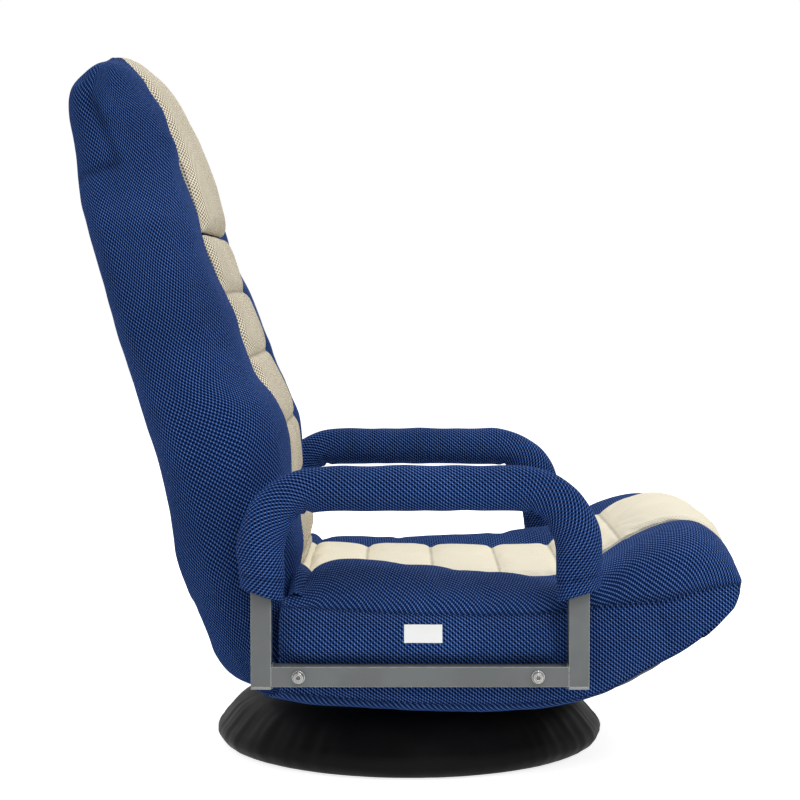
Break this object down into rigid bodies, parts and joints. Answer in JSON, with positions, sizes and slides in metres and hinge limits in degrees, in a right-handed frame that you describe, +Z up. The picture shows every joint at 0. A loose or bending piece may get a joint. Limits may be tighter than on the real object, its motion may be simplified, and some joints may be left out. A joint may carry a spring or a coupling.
{
  "type": "floor chair",
  "caption": "Legless floor chair with a reclining padded back, channelled centre panels, padded tube arms and a skirted round swivel base.",
  "frame": {"origin": "on the floor, on the swivel axis, which is the middle of the chair's outer box", "axes": "+X the way the sitter faces, +Y the sitter's left, +Z up"},
  "size_m": [0.6926, 0.594, 0.7585],
  "materials": {
    "blue_mesh": "matte",
    "cream_mesh": "matte",
    "black_fabric": "satin",
    "foam": "matte",
    "grey_paint": "satin",
    "black_paint": "satin",
    "zinc_steel": "satin",
    "grey_plastic": "matte",
    "black_rubber": "matte",
    "white_tag": "matte"
  },
  "bodies": {
    "base": {"base_ring": "black_paint", "base_feet": "black_rubber", "base_spokes": "black_paint", "base_hub_plate": "black_paint", "base_skirt": "black_fabric", "turntable_lower_plate": "zinc_steel", "turntable_rivet": "zinc_steel", "turntable_base_screws": "zinc_steel", "turntable_base_nuts": "zinc_steel"},
    "ball_cage": {"turntable_balls": "zinc_steel", "turntable_ball_cage": "grey_plastic"},
    "seat": {"turntable_upper_plate": "zinc_steel", "turntable_seat_screws": "zinc_steel", "turntable_seat_nuts": "zinc_steel", "turntable_risers": "black_paint", "seat_frame": "black_paint", "seat_cross_bars": "black_paint", "seat_cushion": "blue_mesh", "seat_centre_panel": "cream_mesh", "bottom_cover": "black_fabric", "side_tag": "white_tag", "arm_tube_left": "grey_paint", "arm_tube_right": "grey_paint", "arm_rail_left": "grey_paint", "arm_rail_right": "grey_paint", "arm_foam_left": "foam", "arm_foam_right": "foam", "arm_sleeve_left": "blue_mesh", "arm_sleeve_right": "blue_mesh", "arm_end_caps": "grey_plastic", "arm_flat_washers": "zinc_steel", "arm_lock_washers": "zinc_steel", "arm_spacers": "zinc_steel", "arm_screws": "zinc_steel", "arm_nuts": "zinc_steel", "hinge_seat_leaves": "zinc_steel", "hinge_pawls": "zinc_steel", "hinge_springs": "zinc_steel"},
    "backrest": {"back_cushion": "blue_mesh", "back_centre_panel": "cream_mesh", "head_pillow": "cream_mesh", "back_frame": "black_paint", "back_cross_bars": "black_paint", "head_hoop": "black_paint", "hinge_back_leaves": "zinc_steel", "hinge_pins": "zinc_steel"}
  },
  "joints": [
    {"name": "swivel", "type": "hinge", "parent": "base", "child": "seat", "pos_m": [0, 0, 0.07], "axis": [0, 0, 1], "continuous": true},
    {"name": "ball_roll", "type": "hinge", "parent": "base", "child": "ball_cage", "pos_m": [0, 0, 0.064], "axis": [0, 0, 1], "continuous": true},
    {"name": "recline", "type": "hinge", "parent": "seat", "child": "backrest", "pos_m": [-0.15, 0, 0.155], "axis": [0, 1, 0], "range_deg": [-75, 10]}
  ],
  "couplings": [
    {"joint": "ball_roll", "follows": "swivel", "ratio": 0.5}
  ]
}
